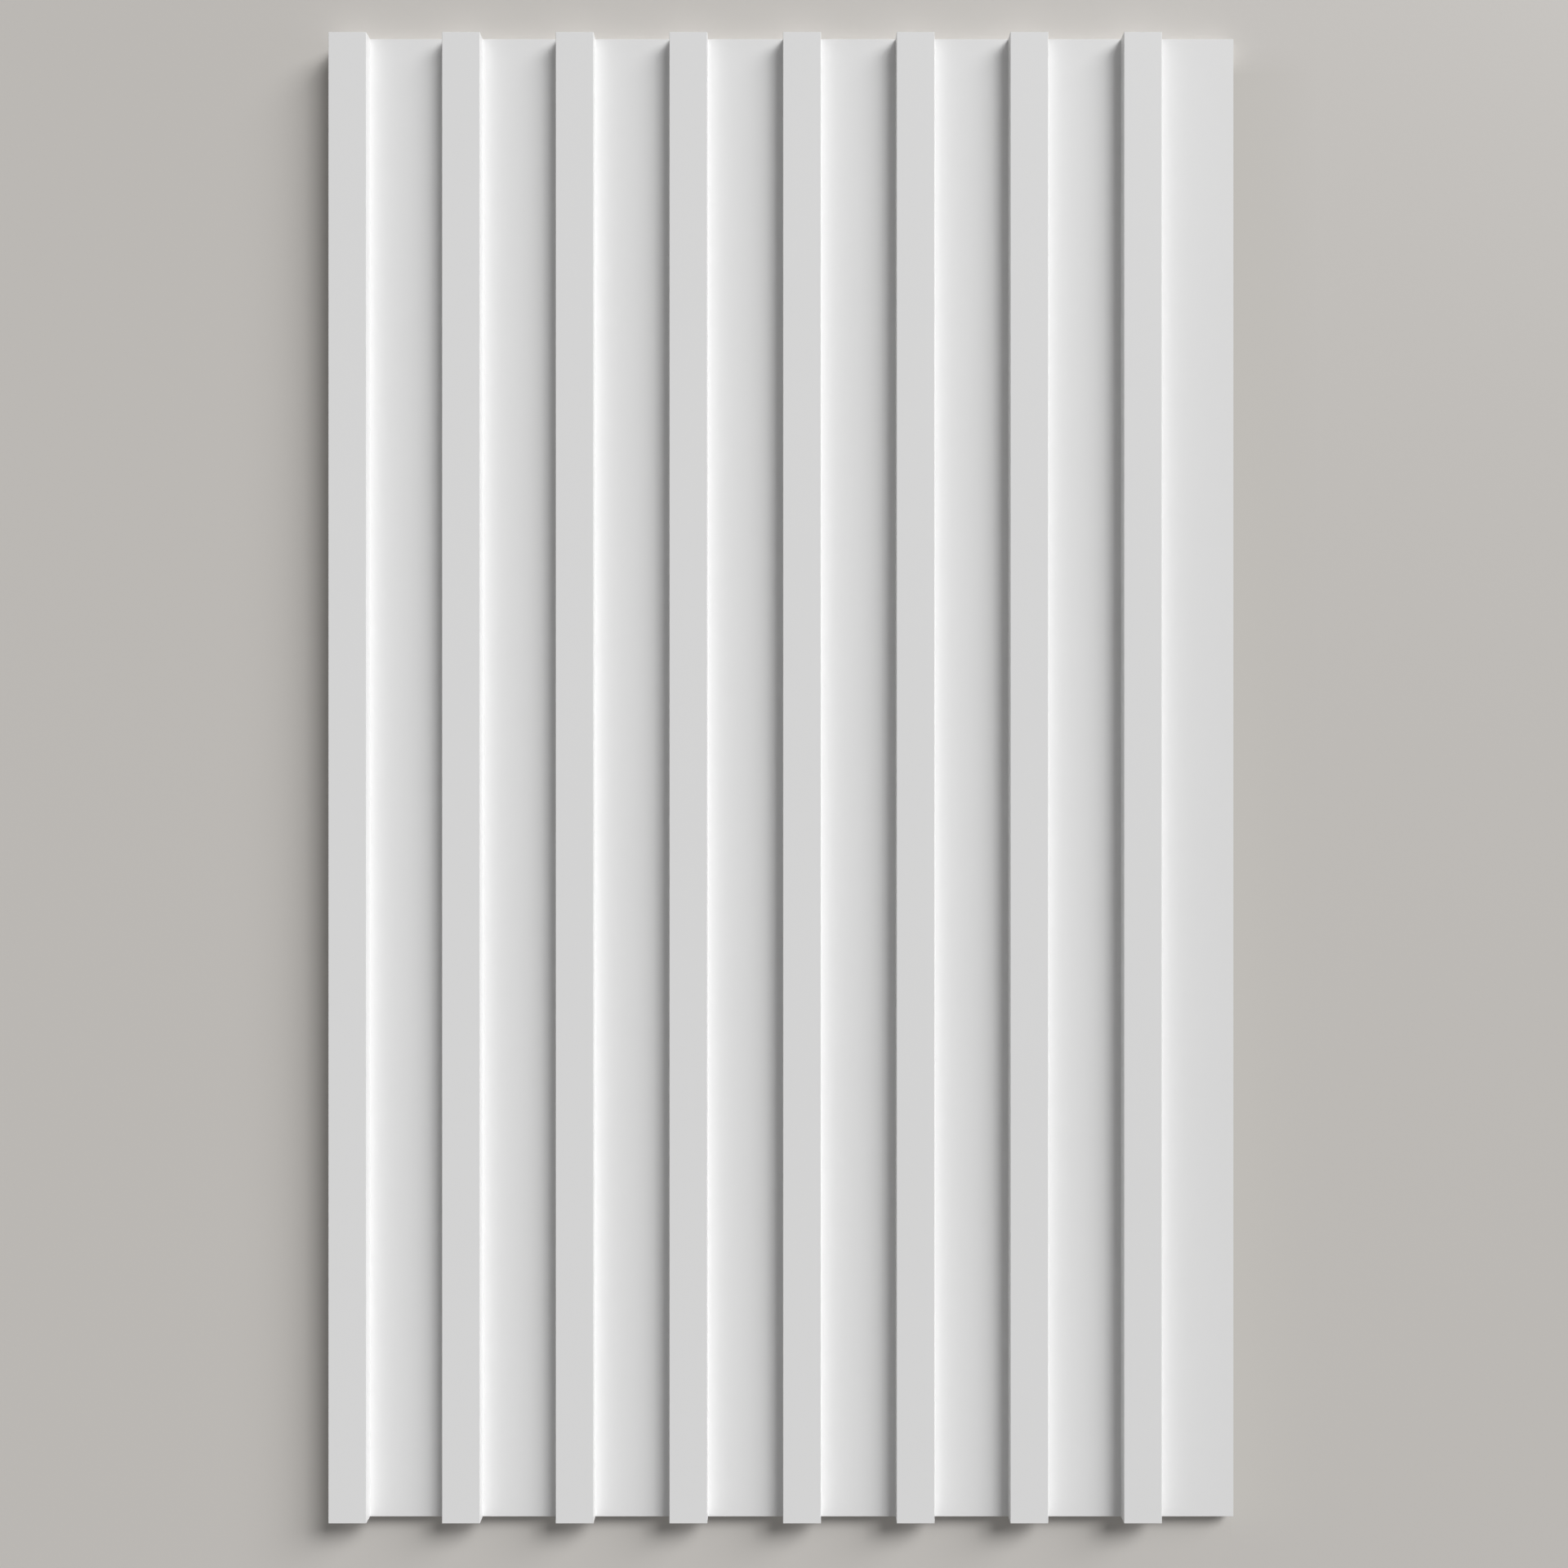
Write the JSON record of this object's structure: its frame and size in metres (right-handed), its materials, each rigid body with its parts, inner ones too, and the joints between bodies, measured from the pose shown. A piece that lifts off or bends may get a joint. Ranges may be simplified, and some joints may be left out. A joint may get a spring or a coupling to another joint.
{
  "type": "wall panel",
  "caption": "White ribbed wall panel: flat square-sided ribs run the full length of a thin base, and a plain strip along the side meets the next panel.",
  "frame": {"origin": "centre of the flat back face, which lies on the floor", "axes": "+Z out of the ribbed face, +Y along the ribs, +X across the ribs towards the plain strip"},
  "size_m": [0.6, 0.984, 0.021],
  "materials": {
    "panel_white": "matte white, primed"
  },
  "bodies": {
    "root": {"wall_panel": "panel_white"}
  },
  "joints": []
}
